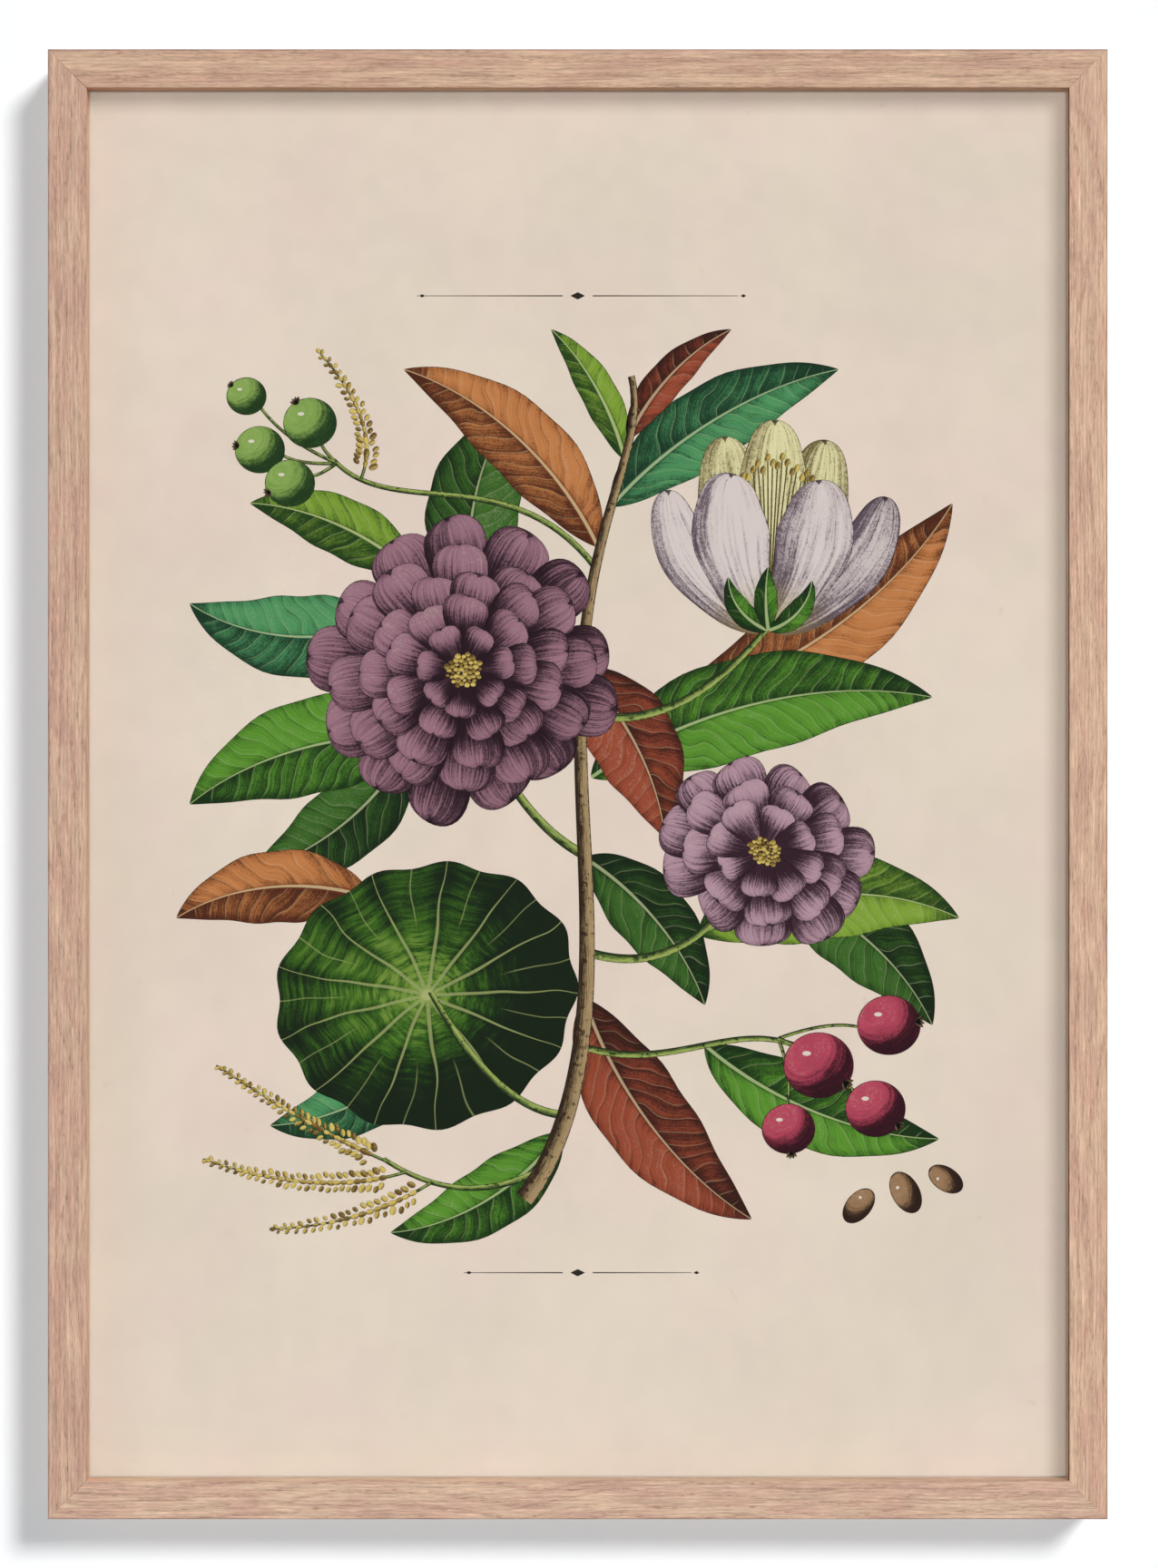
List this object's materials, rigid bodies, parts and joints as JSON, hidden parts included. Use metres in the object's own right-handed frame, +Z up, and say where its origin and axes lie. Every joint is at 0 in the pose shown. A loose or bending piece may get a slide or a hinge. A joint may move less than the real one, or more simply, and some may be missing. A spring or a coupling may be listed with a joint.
{
  "type": "framed botanical print",
  "caption": "Botanical print on aged paper behind clear glazing in a slim mitred oak frame, hung upright on a wall by a sawtooth hanger.",
  "frame": {"origin": "on the wall plane, behind the middle notch of the sawtooth hanger, where the wall hook bears", "axes": "+X to the right as the print is seen, +Y into the wall, +Z up"},
  "size_m": [0.315, 0.033, 0.437],
  "materials": {
    "oak": "matt, open-grained, lightly limed",
    "glazing": "clear, polished",
    "printed_paper": "matt, aged cream",
    "fibreboard": "matt, smooth pressed fibre",
    "tab_steel": "zinc plated, satin",
    "nail_steel": "bright, satin",
    "hanger_brass": "brass plated, satin",
    "pad_rubber": "matt"
  },
  "bodies": {
    "root": {"rail_top": "oak", "rail_right": "oak", "rail_bottom": "oak", "rail_left": "oak", "glazing": "glazing", "print": "printed_paper", "backing_board": "fibreboard", "tab_top_1": "tab_steel", "tab_top_2": "tab_steel", "tab_right_1": "tab_steel", "tab_right_2": "tab_steel", "tab_right_3": "tab_steel", "tab_bottom_1": "tab_steel", "tab_bottom_2": "tab_steel", "tab_left_1": "tab_steel", "tab_left_2": "tab_steel", "tab_left_3": "tab_steel", "v_nail_top_right": "nail_steel", "v_nail_bottom_right": "nail_steel", "v_nail_bottom_left": "nail_steel", "v_nail_top_left": "nail_steel", "hanger_plate": "hanger_brass", "hanger_pin_left": "nail_steel", "hanger_pin_right": "nail_steel", "wall_pad_left": "pad_rubber", "wall_pad_right": "pad_rubber"}
  },
  "joints": []
}
